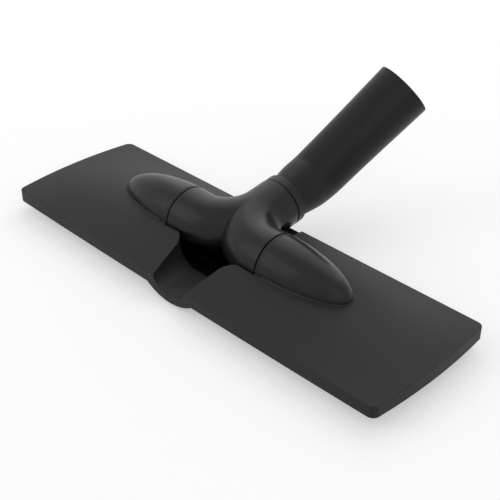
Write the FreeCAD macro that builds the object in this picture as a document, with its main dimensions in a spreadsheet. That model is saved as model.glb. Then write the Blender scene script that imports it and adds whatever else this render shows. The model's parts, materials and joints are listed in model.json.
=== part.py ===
"""Hard floor vacuum brush, 300 mm wide, with a tilting yoke and a swivel elbow.

The frame stands on the floor: +X runs along the head, +Y points back to the tube and +Z up.
The origin lies on the floor, in the middle of the head, straight below the tilt axis.
"""
import FreeCAD, Part
import math
import os
from FreeCAD import Placement, Rotation, Vector

SIZE_LIST = {
    # Head outline and crown
    "head_length": 300.0, "head_front": 49.1, "head_rear": 45.1, "end_bow": 2.3,
    "front_bow": 1.2, "corner_radius": 4.6, "floor_clearance": 8.0, "rim_height": 7.4,
    "cover_wall": 2.2, "rim_wall": 2.4, "crown_slope": 20.0, "crown_end_slope": 1.0,
    "crown_flat": 26.0,
    # Tilt hub, pods and the window round the yoke
    "hub_height": 23.25, "hub_radius": 18.6, "hub_halfspan": 37.7, "seam_gap": 1.1,
    "pod_length": 54.9, "recess_clearance": 0.8, "channel_wall": 1.8,
    "window_front": 18.0, "window_front_radius": 13.5, "window_front_half": 17.3,
    "window_rear": 19.4, "window_rear_radius": 9.5, "window_rear_half": 20.5,
    "pocket_floor": 6.5, "pocket_front": 22.0, "saddle_floor": 3.9, "saddle_slope": 12.0,
    "notch_half": 15.2, "trough_mouth_half": 13.0, "trough_floor": 8.1, "apron_bottom": 2.2,
    "apron_half": 19.0, "trough_shoulder": 15.6, "throat_shoulder": 21.0, "margin": 4.0,
    "pocket_rib": 0.8, "pocket_rib_pitch": 4.0, "pocket_rib_depth": 2.2, "sky": 60.0,
    "rest_half": 4.0, "rest_length": 6.0, "rest_front": 4.0,
    # Sole plates, suction slots and screws
    "plate_thickness": 2.0, "plate_recess": 1.0, "fit_gap": 0.3, "slot_margin": 18.3,
    "slot_end": 22.0, "slot_front": 24.0, "slot_width": 12.0, "boss_radius": 3.2,
    "pilot_radius": 1.3, "screw_radius": 1.3, "screw_head_radius": 2.8, "screw_length": 7.0,
    "boss_inner": 8.3, "boss_outer": 46.0, "boss_front": 20.1, "boss_rear": 18.1,
    # Bristle strips
    "strip_inset": 11.5, "strip_width": 5.0, "strip_height": 2.4, "bristle_width": 3.2,
    "strip_centre_clear": 23.0, "peg_radius": 1.5, "peg_length": 3.2,
    # Wheels
    "wheel_radius": 6.5, "wheel_width": 7.0, "wheel_lift": 0.6, "wheel_end": 34.0,
    "wheel_rear": 25.1, "ear_half": 3.5, "axle_radius": 1.25, "running_clearance": 0.06, "ear_thickness": 2.0,
    # Yoke
    "stem_tilt": 9.9, "stem_reach": 41.5, "stem_radius": 16.5, "arm_bend": 28.0,
    "yoke_wall": 2.2, "part_step": 3.0, "stem_step": 0.3, "lower_wall": 1.8, "sleeve_radius": 10.5, "sleeve_wall": 1.5,
    "sleeve_reach": 8.0, "bush_wall": 1.5,
    # Elbow
    "swivel": 28.4, "elbow_bend": 32.3, "elbow_corner": 32.0, "elbow_radius": 22.0,
    "tube_length": 79.4, "ring_width": 6.0, "ring_radius": 16.3, "collar_gap": 0.8, "neck_radius": 14.0,
    "bend_radius": 17.3, "mouth_radius": 19.1, "socket_radius": 16.0, "socket_depth": 40.0,
    "spigot_radius": 12.4, "spigot_wall": 1.6, "spigot_length": 14.0,
    "socket_step": 1.2,
}

doc = FreeCAD.newDocument("vacuum_brush")
sheet = doc.addObject("Spreadsheet::Sheet", "Sizes")
for row, (alias, number) in enumerate(SIZE_LIST.items(), 1):
    sheet.set(f"A{row}", alias)
    sheet.set(f"B{row}", str(number))
    sheet.setAlias(f"B{row}", alias)
doc.recompute()


class Size:
    """A length or angle that knows its number and the sheet expression behind it."""

    def __init__(self, value, text):
        self.value = float(value)
        self.text = text

    def _join(self, other, sign, value):
        return Size(value, f"({self.text} {sign} {size(other).text})")

    def __add__(self, other):
        return self._join(other, "+", self.value + size(other).value)

    def __sub__(self, other):
        return self._join(other, "-", self.value - size(other).value)

    def __mul__(self, other):
        return self._join(other, "*", self.value * size(other).value)

    def __truediv__(self, other):
        return self._join(other, "/", self.value / size(other).value)

    def __rsub__(self, other):
        return size(other) - self

    def __neg__(self):
        return Size(-self.value, f"(-1 * {self.text})")


def size(item):
    """Wrap a plain number, so that numbers and sizes can be mixed."""
    return item if isinstance(item, Size) else Size(item, f"{float(item):.6f}")


def cell(alias):
    """The size that a cell of the sheet holds."""
    return Size(float(sheet.get(alias)), f"Sizes.{alias}")


def sine(angle):
    return Size(math.sin(math.radians(angle.value)), f"sin({angle.text})")


def cosine(angle):
    return Size(math.cos(math.radians(angle.value)), f"cos({angle.text})")


def tangent(angle):
    return Size(math.tan(math.radians(angle.value)), f"tan({angle.text})")


def root(amount):
    return Size(math.sqrt(amount.value), f"sqrt({amount.text})")


def bind(item, **sizes):
    """Drive properties of an object from sizes; a double underscore stands for a dot."""
    for name, amount in sizes.items():
        item.setExpression(name.replace("__", "."), size(amount).text)
    return item


def at(item, x=0, y=0, z=0, turn=None):
    """Place an object, with each coordinate driven by a size."""
    x, y, z = size(x), size(y), size(z)
    item.Placement = Placement(Vector(x.value, y.value, z.value), turn or Rotation())
    return bind(item, Placement__Base__x=x, Placement__Base__y=y, Placement__Base__z=z)


ALONG_X = Rotation(Vector(0, 1, 0), 90)
ALONG_Y = Rotation(Vector(1, 0, 0), -90)
PLANES = {
    "XY": Rotation(),
    "XZ": Rotation(Vector(1, 0, 0), 90),
    "YZ": Rotation(Vector(1, 1, 1), 120),
}


def arc_centre(start, end, radius):
    """Centre of the arc from start to end; a positive radius keeps it left of the path."""
    chord = end - start
    half = chord.Length / 2
    rise = math.sqrt(max(radius * radius - half * half, 0.0))
    left = Vector(-chord.y, chord.x, 0) / chord.Length
    return (start + end) * 0.5 + left * (rise if radius > 0 else -rise)


def fill(sketch, points, closed=True):
    """Draw an outline of lines and arcs through points (u, v) or (u, v, arc radius)."""
    corners = [Vector(size(p[0]).value, size(p[1]).value, 0) for p in points]
    count = len(points) if closed else len(points) - 1
    for i in range(count):
        start, end = corners[i], corners[(i + 1) % len(points)]
        if len(points[i]) == 3:
            radius = size(points[i][2]).value
            centre = arc_centre(start, end, radius)
            first = math.atan2(start.y - centre.y, start.x - centre.x)
            last = math.atan2(end.y - centre.y, end.x - centre.x)
            if radius < 0:
                first, last = last, first
            circle = Part.Circle(centre, Vector(0, 0, 1), abs(radius))
            sketch.addGeometry(Part.ArcOfCircle(circle, first, last), False)
        else:
            sketch.addGeometry(Part.LineSegment(start, end), False)

    def ends(i):
        reverse = len(points[i]) == 3 and size(points[i][2]).value < 0
        return (2, 1) if reverse else (1, 2)

    for i in range(count - (0 if closed else 1)):
        j = (i + 1) % count
        constrain(sketch, "Coincident", i, ends(i)[1], j, ends(j)[0])
    for i, point in enumerate(points):
        edge, spot = (i, ends(i)[0]) if i < count else (i - 1, ends(i - 1)[1])
        for kind, axis, amount in (("DistanceX", -2, point[0]), ("DistanceY", -1, point[1])):
            amount = size(amount)
            if abs(amount.value) < 1e-9:
                constrain(sketch, "PointOnObject", edge, spot, axis)
            else:
                constrain(sketch, kind, -1, 1, edge, spot, amount=amount)
        if len(point) == 3:
            radius = size(point[2])
            constrain(sketch, "Radius", i, amount=radius if radius.value > 0 else -radius)
    return sketch


def constrain(sketch, kind, *where, amount=None):
    """Add a constraint, driven by a size when one is given."""
    import Sketcher
    values = list(where) + ([amount.value] if amount is not None else [])
    index = sketch.addConstraint(Sketcher.Constraint(kind, *values))
    if amount is not None:
        sketch.setExpression(f"Constraints[{index}]", amount.text)


def outline(name, plane, points, x=0, y=0, z=0, closed=True):
    """A free sketch in a plane through the point (x, y, z)."""
    sketch = doc.addObject("Sketcher::SketchObject", name)
    fill(sketch, points, closed)
    return at(sketch, x, y, z, PLANES[plane])


def ring_sketch(name, radius, place):
    """A circle that a pipe passes through."""
    sketch = doc.addObject("Sketcher::SketchObject", name)
    sketch.addGeometry(Part.Circle(Vector(), Vector(0, 0, 1), size(radius).value), False)
    constrain(sketch, "Coincident", 0, 3, -1, 1)
    constrain(sketch, "Radius", 0, amount=size(radius))
    sketch.Placement = place
    return sketch


def extrude(name, sketch, direction, length, back=0):
    item = doc.addObject("Part::Extrusion", name)
    item.Base, item.DirMode, item.Dir, item.Solid = sketch, "Custom", direction, True
    return bind(item, LengthFwd=length, LengthRev=back)


def prism(name, plane, points, low, high, turn=None):
    """The outline pushed along its plane's normal axis, from low to high."""
    low, high = size(low), size(high)
    axis = {"XY": Vector(0, 0, 1), "XZ": Vector(0, 1, 0), "YZ": Vector(1, 0, 0)}[plane]
    spot = {"XY": {"z": low}, "XZ": {"y": low}, "YZ": {"x": low}}[plane]
    return extrude(name, outline(name + "_outline", plane, points, **spot), axis, high - low)


def block(name, x0, x1, y0, y1, z0, z1):
    item = bind(doc.addObject("Part::Box", name), Length=size(x1) - x0,
                Width=size(y1) - y0, Height=size(z1) - z0)
    return at(item, x0, y0, z0)


def rod(name, radius, length, x=0, y=0, z=0, turn=None):
    item = bind(doc.addObject("Part::Cylinder", name), Radius=radius, Height=length)
    return at(item, x, y, z, turn)


def loft(name, sections, ruled=False):
    item = doc.addObject("Part::Loft", name)
    item.Sections, item.Solid, item.Ruled = sections, True, ruled
    return item


def turned(name, points, axis, x=0, y=0, z=0):
    """A body of revolution: the profile gives (place along the axis, radius)."""
    body = doc.addObject("PartDesign::Body", name)
    sketch = body.newObject("Sketcher::SketchObject", name + "_profile")
    plane = next(f for f in body.Origin.OriginFeatures if f.Role == "XY_Plane")
    sketch.AttachmentSupport, sketch.MapMode = (plane, [""]), "FlatFace"
    fill(sketch, points)
    spin = body.newObject("PartDesign::Revolution", name + "_turned")
    spin.Profile, spin.ReferenceAxis, spin.Angle = sketch, (sketch, ["H_Axis"]), 360
    turn = {"X": Rotation(), "Y": Rotation(Vector(0, 0, 1), 90),
            "Z": Rotation(Vector(0, 1, 0), -90)}[axis]
    return at(body, x, y, z, turn)


def padded(name, plane, points, low, thickness):
    """A body with one pad on a plane of its own."""
    body = doc.addObject("PartDesign::Body", name)
    add_pad(body, name + "_pad", plane, points, low, thickness)
    return body


def add_sketch(body, name, plane, points, low):
    sketch = body.newObject("Sketcher::SketchObject", name)
    support = next(f for f in body.Origin.OriginFeatures if f.Role == plane + "_Plane")
    sketch.AttachmentSupport, sketch.MapMode = (support, [""]), "FlatFace"
    bind(sketch, AttachmentOffset__Base__z=low)
    return fill(sketch, points) if points else sketch


def add_pad(body, name, plane, points, low, thickness):
    pad = body.newObject("PartDesign::Pad", name)
    pad.Profile = add_sketch(body, name + "_sketch", plane, points, low)
    return bind(pad, Length=thickness)


def add_pocket(body, name, plane, points, low, depth):
    """Cut upwards from a plane at the height low."""
    pocket = body.newObject("PartDesign::Pocket", name)
    pocket.Profile = add_sketch(body, name + "_sketch", plane, points, low)
    pocket.Reversed = True
    return bind(pocket, Length=depth)


def fuse(name, *parts):
    item = doc.addObject("Part::MultiFuse", name)
    item.Shapes = list(parts)
    return item


def common(name, *parts):
    item = doc.addObject("Part::MultiCommon", name)
    item.Shapes = list(parts)
    return item


def cut(name, base, tool):
    item = doc.addObject("Part::Cut", name)
    item.Base, item.Tool = base, tool
    return item


def mirrored(name, source):
    """The same shape on the other side of the middle plane."""
    item = doc.addObject("Part::Mirroring", name)
    item.Source, item.Normal = source, Vector(1, 0, 0)
    return item


def add_round(body, name, kind, plane, u, v, radius, low, length):
    """A round pad or pocket at (u, v) in a plane, from low upwards."""
    feature = body.newObject(kind, name)
    sketch = add_sketch(body, name + "_sketch", plane, None, low)
    u, v, radius = size(u), size(v), size(radius)
    sketch.addGeometry(Part.Circle(Vector(u.value, v.value, 0), Vector(0, 0, 1), radius.value))
    constrain(sketch, "DistanceX", -1, 1, 0, 3, amount=u)
    constrain(sketch, "DistanceY", -1, 1, 0, 3, amount=v)
    constrain(sketch, "Radius", 0, amount=radius)
    feature.Profile = sketch
    return bind(feature, Length=length)


def add_bore(body, name, plane, u, v, radius, low, depth):
    add_round(body, name, "PartDesign::Pocket", plane, u, v, radius, low, depth).Reversed = True


def rectangle(x0, x1, y0, y1):
    return [(x0, y0), (x1, y0), (x1, y1), (x0, y1)]


NODES = []


def node(item, name):
    """Register an object as a finished piece under its own label."""
    item.Label = name
    NODES.append((item, name))
    return item


# Sizes that several pieces share
half_length = cell("head_length") / 2
head_front, head_rear = cell("head_front"), cell("head_rear")
rim_bottom = cell("floor_clearance")
rim_top = rim_bottom + cell("rim_height")
head_middle = (head_rear - head_front) / 2
half_depth = (head_front + head_rear) / 2
hub_height, hub_radius = cell("hub_height"), cell("hub_radius")
hub_halfspan = cell("hub_halfspan")
channel_wall, fit_gap = cell("channel_wall"), cell("fit_gap")
plate_bottom = rim_bottom + cell("plate_recess")
plate_top = plate_bottom + cell("plate_thickness")
SKY = cell("sky")
margin = cell("margin")
ear_half = cell("ear_half")
wheel_x = half_length - cell("wheel_end")
wheel_y = head_rear - cell("wheel_rear")


# Cover: a crowned tray with two pods, a front trough, a window for the yoke and a rear saddle
def head_outline(inset):
    """Plan of the head: bowed ends and front, straight rear, rounded corners."""
    end, front, rear = half_length - inset, head_front - inset, head_rear - inset
    corner = cell("corner_radius") - inset
    corner = corner if corner.value > 1 else size(1)
    side = (front + rear) / 2 - corner
    end_arc = (side * side + cell("end_bow") * cell("end_bow")) / (cell("end_bow") * 2)
    run = end - corner
    bow = cell("front_bow")
    front_arc = (run * run + bow * bow) / (bow * 2)
    return [
        (-run, -front, front_arc), (run, -front, corner), (end, corner - front, end_arc),
        (end, rear - corner, corner), (run, rear), (-run, rear, corner),
        (-end, rear - corner, end_arc), (-end, corner - front, corner),
    ]


def crown_section(name, x, slope, drop):
    """Section of the crown across the head: a slope, a wide arc and a slope."""
    flat = cell("crown_flat")
    beyond = margin * 2
    reach = half_depth + beyond
    low = rim_top - drop - beyond * tangent(slope)
    shoulder = rim_top - drop + (half_depth - flat) * tangent(slope)
    arc = flat / sine(slope)
    points = [
        (head_middle - reach, 0), (head_middle + reach, 0), (head_middle + reach, low),
        (head_middle + flat, shoulder, arc), (head_middle - flat, shoulder),
        (head_middle - reach, low),
    ]
    return outline(name, "YZ", points, x=x)


def crown(name, drop):
    """The space under the crowned top, from the floor up."""
    reach = half_length + cell("end_bow") + 1
    slopes = ((-reach, "crown_end_slope"), (0, "crown_slope"), (reach, "crown_end_slope"))
    return loft(name, [
        crown_section(f"{name}_section_{i}", x, cell(slope), drop)
        for i, (x, slope) in enumerate(slopes)
    ])


def pod(name, start, radius, length):
    """Half an ellipsoid on the tilt axis, from start outwards."""
    ball = doc.addObject("Part::Ellipsoid", name + "_ball")
    bind(ball, Radius1=length, Radius2=radius, Radius3=radius)
    ball.Placement = Placement(Vector(start.value, 0, hub_height.value), ALONG_X)
    bind(ball, Placement__Base__x=start, Placement__Base__z=hub_height)
    keep = block(name + "_keep", start, start + length + 5, -hub_radius - 5, hub_radius + 5,
                 0, SKY)
    return common(name, ball, keep)


def window_side(grow):
    """One side of the window in plan, front to rear, moved into the head by grow."""
    front_r, rear_r = cell("window_front_radius") - grow, cell("window_rear_radius") - grow
    front_x, rear_x = cell("window_front_half") + grow, cell("window_rear_half") + grow
    front_y = -(cell("window_front")) - grow
    rear_y = cell("window_rear") + grow
    return [
        (cell("trough_mouth_half") + grow + 0.4, -head_front - margin),
        (front_x, front_y - front_r, -front_r),
        (front_x + front_r, front_y),
        (hub_halfspan + grow, front_y),
        (hub_halfspan + grow, rear_y),
        (rear_x + rear_r, rear_y, -rear_r),
        (rear_x, rear_y + rear_r),
        (cell("notch_half") + grow, head_rear + margin),
    ]


def between(first, second, v):
    """The u of the line through two points, where it passes v."""
    share = (v - first[1]) / (second[1] - first[1])
    return first[0] + (second[0] - first[0]) * share


def mirror_side(side):
    """The other side of a plan, listed rear to front."""
    flipped = []
    for i in range(len(side) - 1, -1, -1):
        x, y = side[i][0], side[i][1]
        arc = side[i - 1][2] if i > 0 and len(side[i - 1]) == 3 else None
        flipped.append((-x, y) if arc is None else (-x, y, arc))
    return flipped


def trough_section(name, y, half, shoulder, floor, grow):
    """U-shaped section of the front trough."""
    half, floor = size(half) + grow, size(floor) - grow
    flat = half * 0.35
    rise = size(shoulder) - floor
    run = half - flat
    arc = (run * run + rise * rise) / (rise + run) * 1.02
    points = [
        (-half, SKY), (-half, shoulder, arc), (-flat, floor), (flat, floor, arc),
        (half, shoulder), (half, SKY),
    ]
    return outline(name, "XZ", points, y=y)


# Sections of the trough's throat, as shares of the way from the window's corner to the pocket
THROAT = (0, 0.4, 0.7, 1)


def channel(name, grow):
    """Everything that the yoke and the trough keep free, grown by a wall."""
    recess = hub_radius + cell("recess_clearance") + grow
    span = hub_halfspan + grow
    plan = window_side(grow)
    window = prism(name + "_plan", "XY", plan + mirror_side(plan), 0, SKY)
    hub = rod(name + "_hub", recess, span * 2, x=-span, z=hub_height, turn=ALONG_X)
    floor = cell("pocket_floor") - grow
    pocket = block(name + "_pocket", -span, span, -cell("pocket_front") - grow, 0, floor, SKY)
    low = cell("saddle_floor") - grow
    far = head_rear + 2
    saddle = prism(name + "_saddle", "YZ", [
        (0, low), (far, low + far * tangent(cell("saddle_slope"))), (far, SKY), (0, SKY),
    ], -span, span)
    free = common(name + "_window", window, fuse(name + "_floors", pocket, saddle))
    front_r, front_half = cell("window_front_radius"), cell("window_front_half")
    corner = cell("window_front") + front_r
    shoulder, rise = cell("trough_shoulder"), cell("throat_shoulder") - cell("trough_shoulder")
    low_floor = cell("trough_floor")
    sections = [trough_section(f"{name}_mouth", -head_front - margin, cell("trough_mouth_half"),
                               shoulder, low_floor, grow)]
    for i, share in enumerate(THROAT):
        back = (corner - cell("pocket_front")) * share
        flare = front_r - root(front_r * front_r - back * back)
        sections.append(trough_section(f"{name}_throat_{i}", back - corner, front_half + flare,
                                       shoulder + rise * (0.8 + 0.2 * share), low_floor - 0.5,
                                       grow))
    trough = loft(name + "_trough", sections, ruled=True)
    return fuse(name, hub, free, trough)


def apron():
    """The front wall that follows the trough down."""
    low, half = cell("apron_bottom"), cell("apron_half")
    rise = rim_bottom - low
    arc = (half * half + rise * rise) / (rise * 2)
    return prism("apron", "XZ", [
        (-half, rim_bottom, arc), (half, rim_bottom), (half, rim_top), (-half, rim_top),
    ], -head_front - 3, -head_front + cell("rim_wall"))


BOSSES = [
    (x * sign, y)
    for sign in (-1, 1)
    for x in (hub_halfspan + cell("boss_inner"), half_length - cell("boss_outer"))
    for y in (cell("boss_front") - head_front, head_rear - cell("boss_rear"))
]


def build_cover():
    everywhere = size(0)
    plan = prism("head_plan", "XY", head_outline(everywhere), rim_bottom, SKY)
    plan_low = prism("head_plan_low", "XY", head_outline(everywhere), 0, SKY)
    plan_inner = prism("head_plan_inner", "XY", head_outline(cell("rim_wall")), 0, SKY)
    crown_outer, crown_inner = crown("crown_outer", size(0)), crown("crown_inner", cell("cover_wall"))
    pod_outer = pod("pod_outer", hub_halfspan, hub_radius, cell("pod_length"))
    wall = cell("cover_wall")
    pod_inner = pod("pod_inner", hub_halfspan + channel_wall, hub_radius - wall,
                    cell("pod_length") - wall - channel_wall)
    solid = fuse("cover_solid", common("cover_block", plan, crown_outer), pod_outer,
                 mirrored("pod_outer_left", pod_outer))
    hollow = fuse("cover_hollow", common("cover_cavity", plan_inner, crown_inner), pod_inner,
                  mirrored("pod_inner_left", pod_inner))
    bosses = [
        rod(f"boss_{i}", cell("boss_radius"), SKY, x=x, y=y, z=plate_top)
        for i, (x, y) in enumerate(BOSSES)
    ]
    walls = common("cover_walls", plan_low, crown_outer,
                   fuse("wall_parts", channel("channel_outer", channel_wall), apron(), *bosses))
    shell = fuse("cover_raw", cut("cover_tray", solid, hollow), walls)
    past = margin + cell("sleeve_reach")
    bore = rod("bush_bore", cell("sleeve_radius") + cell("bush_wall"), (hub_halfspan + past) * 2,
               x=-hub_halfspan - past, z=hub_height, turn=ALONG_X)
    pilots = [
        rod(f"pilot_{i}", cell("pilot_radius"), cell("screw_length") - 2, x=x, y=y,
            z=plate_top - 0.1)
        for i, (x, y) in enumerate(BOSSES)
    ]
    rest = build_stem_rest()
    opened = cut("cover_opened", shell,
                 fuse("cover_tools", channel("channel_inner", size(0)), bore, *pilots))
    return node(fuse("cover", opened, rest, pocket_ribs()), "top_cover")


def pocket_ribs():
    """Curved ribs that stiffen the pocket under the yoke, round the tilt axis."""
    thick, pitch = cell("pocket_rib"), cell("pocket_rib_pitch")
    outer = hub_radius + cell("recess_clearance") + thick
    blades = [
        block(f"rib_blade_{i}", pitch * i - thick / 2, pitch * i + thick / 2, -outer, 2,
              cell("saddle_floor") - 1, hub_height - hub_radius / 2)
        for i in range(-3, 4)
    ]
    span = pitch * 4
    around = rod("rib_outside", outer, span * 2, x=-span, z=hub_height, turn=ALONG_X)
    free = rod("rib_inside", outer - thick - cell("pocket_rib_depth"), span * 2, x=-span,
               z=hub_height, turn=ALONG_X)
    return cut("pocket_ribs", common("rib_ring", fuse("rib_blades", *blades), around), free)


def build_stem_rest():
    """The rounded rib in the saddle that the stem lies on."""
    slope, half = cell("saddle_slope"), cell("rest_half")
    far = cell("stem_reach") - cell("rest_front")
    near = far - cell("rest_length")
    floor = cell("saddle_floor") + near * tangent(slope) - 0.5
    top = hub_height + near * tangent(cell("stem_tilt")) - stem_bottom_offset() - fit_gap
    return block("stem_rest", -half, half, near, far, floor, top)


def stem_bottom_offset():
    """How far the underside of the stem lies below its axis, near the rear edge."""
    return (cell("stem_radius") + 0.4) / cosine(cell("stem_tilt"))


# Where the bristle strips run and where their pegs pass the soles
STRIP_X = half_length - cell("strip_inset")
STRIP_REAR = head_rear - cell("strip_inset") + 2
STRIP_FRONT = -head_front + cell("strip_inset")
STRIP_FAR = STRIP_X - cell("strip_width")
STRIP_CLEAR = cell("strip_centre_clear")
SIDES = (-1, 1)
END_PEGS = [(STRIP_X * s, y) for s in SIDES
            for y in (STRIP_FRONT + 11, (STRIP_FRONT + STRIP_REAR) / 2 + 9, STRIP_REAR - 8)]
REAR_PEGS = [(STRIP_X * s * share, STRIP_REAR) for s in SIDES for share in (0.3, 0.7)]
FRONT_PEGS = [((STRIP_CLEAR + (STRIP_FAR - STRIP_CLEAR) * share) * s, STRIP_FRONT) for s in SIDES
              for share in (0.08, 0.5, 0.92)]
PEGS = END_PEGS + REAR_PEGS + FRONT_PEGS


# Sole plates with suction slots
def build_plate(sign, side):
    gap = channel_wall + fit_gap
    inner = window_side(gap)
    inset = cell("rim_wall") + fit_gap
    end, front, rear = half_length - inset, head_front - inset, head_rear - inset
    inner[0] = (between(inner[0], inner[1], -front), -front)
    inner[-1] = (between(inner[-1], inner[-2], rear), rear)
    points = [(x[0] * sign, *x[1:]) for x in inner]
    if sign < 0:
        points = [(p[0], p[1], -p[2]) if len(p) == 3 else p for p in points]
    corner = size(3)
    arc = -corner if sign > 0 else corner
    points += [
        ((end - corner) * sign, rear, arc), (end * sign, rear - corner),
        (end * sign, corner - front, arc), ((end - corner) * sign, -front),
    ]
    body = padded(f"plate_{side}", "XY", points, plate_bottom, cell("plate_thickness"))
    start, stop = hub_halfspan + cell("slot_margin"), half_length - cell("slot_end")
    slot_front = -cell("slot_front")
    add_pocket(body, f"slot_{side}", "XY",
               rectangle(start * sign, stop * sign, slot_front, slot_front + cell("slot_width")),
               plate_bottom, cell("plate_thickness"))
    axle_x = wheel_x * sign
    half = cell("wheel_width") / 2 + 0.7
    reach = cell("wheel_radius") + 1
    add_pocket(body, f"wheel_opening_{side}", "XY",
               rectangle(axle_x - half, axle_x + half, wheel_y - reach, wheel_y + reach),
               plate_bottom, cell("plate_thickness"))
    axle_z = cell("wheel_radius") + cell("wheel_lift")
    for k, place in enumerate((axle_x - half - cell("ear_thickness"), axle_x + half)):
        add_pad(body, f"ear_{side}_{k}", "YZ",
                [(wheel_y - ear_half, plate_top), (wheel_y - ear_half, axle_z, ear_half * 1.04),
                 (wheel_y + ear_half, axle_z), (wheel_y + ear_half, plate_top)],
                place, cell("ear_thickness"))
    doc.recompute()
    add_bore(body, f"axle_hole_{side}", "YZ", wheel_y, axle_z, cell("axle_radius"),
             axle_x - half - cell("ear_thickness") - 1, half * 2 + cell("ear_thickness") * 2 + 2)
    for k, (x, y) in enumerate(PEGS):
        if x.value * sign > 0:
            add_bore(body, f"peg_hole_{side}_{k}", "XY", x, y,
                     cell("peg_radius") + cell("running_clearance"), plate_bottom,
                     cell("plate_thickness"))
    for k, (x, y) in enumerate(BOSSES):
        if x.value * sign > 0:
            add_bore(body, f"screw_hole_{side}_{k}", "XY", x, y,
                     cell("screw_radius") + cell("running_clearance"), plate_bottom,
                     cell("plate_thickness"))
    return body


# Bristle strips: a moulded holder clipped to the soles, with a band of bristles below
def strip_u(width):
    """The band along the ends and the rear, open at the front."""
    half = size(width) / 2
    x, rear, front = STRIP_X, STRIP_REAR, STRIP_FRONT + 6
    return [
        (-x - half, front), (-x + half, front), (-x + half, rear - half),
        (x - half, rear - half), (x - half, front), (x + half, front),
        (x + half, rear + half), (-x - half, rear + half),
    ]


def strip_front(sign, width):
    """The straight band beside the trough, at one side."""
    half = size(width) / 2
    near, far = STRIP_CLEAR * sign, STRIP_FAR * sign
    return rectangle(near, far, STRIP_FRONT - half, STRIP_FRONT + half)


def build_strip(name, points, bristles, pegs):
    """A holder with its pegs, and the bristles under it."""
    low = plate_bottom - cell("strip_height")
    body = padded(f"{name}_holder_body", "XY", points, low, cell("strip_height"))
    for k, (x, y) in enumerate(pegs):
        add_round(body, f"{name}_peg_{k}", "PartDesign::Pad", "XY", x, y, cell("peg_radius"),
                  plate_bottom, cell("plate_thickness"))
    node(body, f"{name}_holder")
    node(padded(f"{name}_bristle_body", "XY", bristles, 0, low), f"{name}_bristles")


def build_wheel(sign, side):
    axle_z = cell("wheel_radius") + cell("wheel_lift")
    x, half = wheel_x * sign, cell("wheel_width") / 2
    bore = cell("axle_radius") + cell("running_clearance")
    tread = cell("wheel_radius")
    node(turned(f"wheel_body_{side}", [
        (-half, bore), (half, bore), (half, tread - 1), (half - 1, tread),
        (1 - half, tread), (-half, tread - 1),
    ], "X", x=x, y=wheel_y, z=axle_z), f"wheel_{side}")
    reach = half + 0.7 + cell("ear_thickness")
    axle = cell("axle_radius")
    node(turned(f"axle_body_{side}", [
        (-reach, 0), (reach, 0), (reach, axle - 0.3), (reach - 0.3, axle),
        (0.3 - reach, axle), (-reach, axle - 0.3),
    ], "X", x=x, y=wheel_y, z=axle_z), f"wheel_axle_{side}")


def build_screws():
    """Eight tapping screws that hold the soles to the cover's bosses."""
    shank, head_r = cell("screw_radius"), cell("screw_head_radius")
    screws = []
    long = cell("screw_length")
    for i, (x, y) in enumerate(BOSSES):
        screws.append(turned(f"screw_{i}", [
            (-1.6, 0), (long - 1.2, 0), (long - 2.4, shank), (0, shank), (0, head_r),
            (-1, head_r), (-1.6, head_r - 0.8),
        ], "Z", x=x, y=y, z=plate_bottom))
    node(fuse("screw_group", *screws), "sole_screws")


# Pivot: bushes in the pods, felt rings in the seams and sleeves that carry the yoke
def build_pivot(sign, side):
    sleeve = cell("sleeve_radius")
    bore = sleeve + cell("running_clearance")
    bush = sleeve + cell("bush_wall") - cell("running_clearance")
    face = hub_halfspan
    inner_face = hub_halfspan + channel_wall
    place = {"x": 0, "z": hub_height}

    def profile(points):
        if sign < 0:
            points = [(-p[0], p[1]) for p in reversed(points)]
        return points

    node(turned(f"bush_body_{side}", profile([
        (face, bore), (inner_face + 4, bore), (inner_face + 4, bush), (face, bush),
    ]), "X", **place), f"hub_bush_{side}")
    node(turned(f"felt_body_{side}", profile([
        (face - cell("seam_gap") + 0.1, sleeve + 0.3), (face - 0.05, sleeve + 0.3),
        (face - 0.05, hub_radius - 2.4), (face - cell("seam_gap") + 0.1, hub_radius - 2.4),
    ]), "X", **place), f"hub_felt_{side}")
    end = face - cell("seam_gap") - cell("yoke_wall")
    hole = sleeve - cell("sleeve_wall")
    node(turned(f"sleeve_body_{side}", profile([
        (end - 2, hole), (face + cell("sleeve_reach"), hole),
        (face + cell("sleeve_reach"), sleeve), (end - 0.05, sleeve), (end - 0.05, sleeve + 1.6),
        (end - 2, sleeve + 1.6),
    ]), "X", **place), f"pivot_sleeve_{side}")


# Yoke: two bent arms that join into one stem, moulded as an upper and a lower half
STEM_TURN = Rotation(Vector(1, 0, 0), SIZE_LIST["stem_tilt"])
HUB_CENTRE = Vector(0, 0, SIZE_LIST["hub_height"])
YOKE_PLACE = Placement(HUB_CENTRE, STEM_TURN)


def half_yoke(name, start, end, start_radius, end_radius):
    """The right arm and its half of the stem, swept along the bend."""
    bend = cell("arm_bend")
    path = outline(name + "_path", "XY", [
        (start, 0), (bend, 0, -bend), (0, bend), (0, end),
    ], closed=False)
    first = ring_sketch(name + "_first", start_radius,
                        Placement(Vector(start.value, 0, 0), PLANES["YZ"]))
    last = ring_sketch(name + "_last", end_radius,
                       Placement(Vector(0, end.value, 0), PLANES["XZ"]))
    bind(first, Placement__Base__x=start)
    bind(last, Placement__Base__y=end)
    sweep = doc.addObject("Part::Sweep", name + "_sweep")
    sweep.Sections, sweep.Solid, sweep.Frenet = [first, last], True, False
    sweep.Spine = (path, ["Edge1", "Edge2", "Edge3"])
    keep = block(name + "_keep", 0, start + 1, -40, end + 1, -40, 40)
    return common(name, sweep, keep)


def whole_yoke(name, start, end, start_radius, end_radius):
    right = half_yoke(name + "_right", size(start), size(end), start_radius, end_radius)
    return fuse(name, right, mirrored(name + "_left", right))


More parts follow.
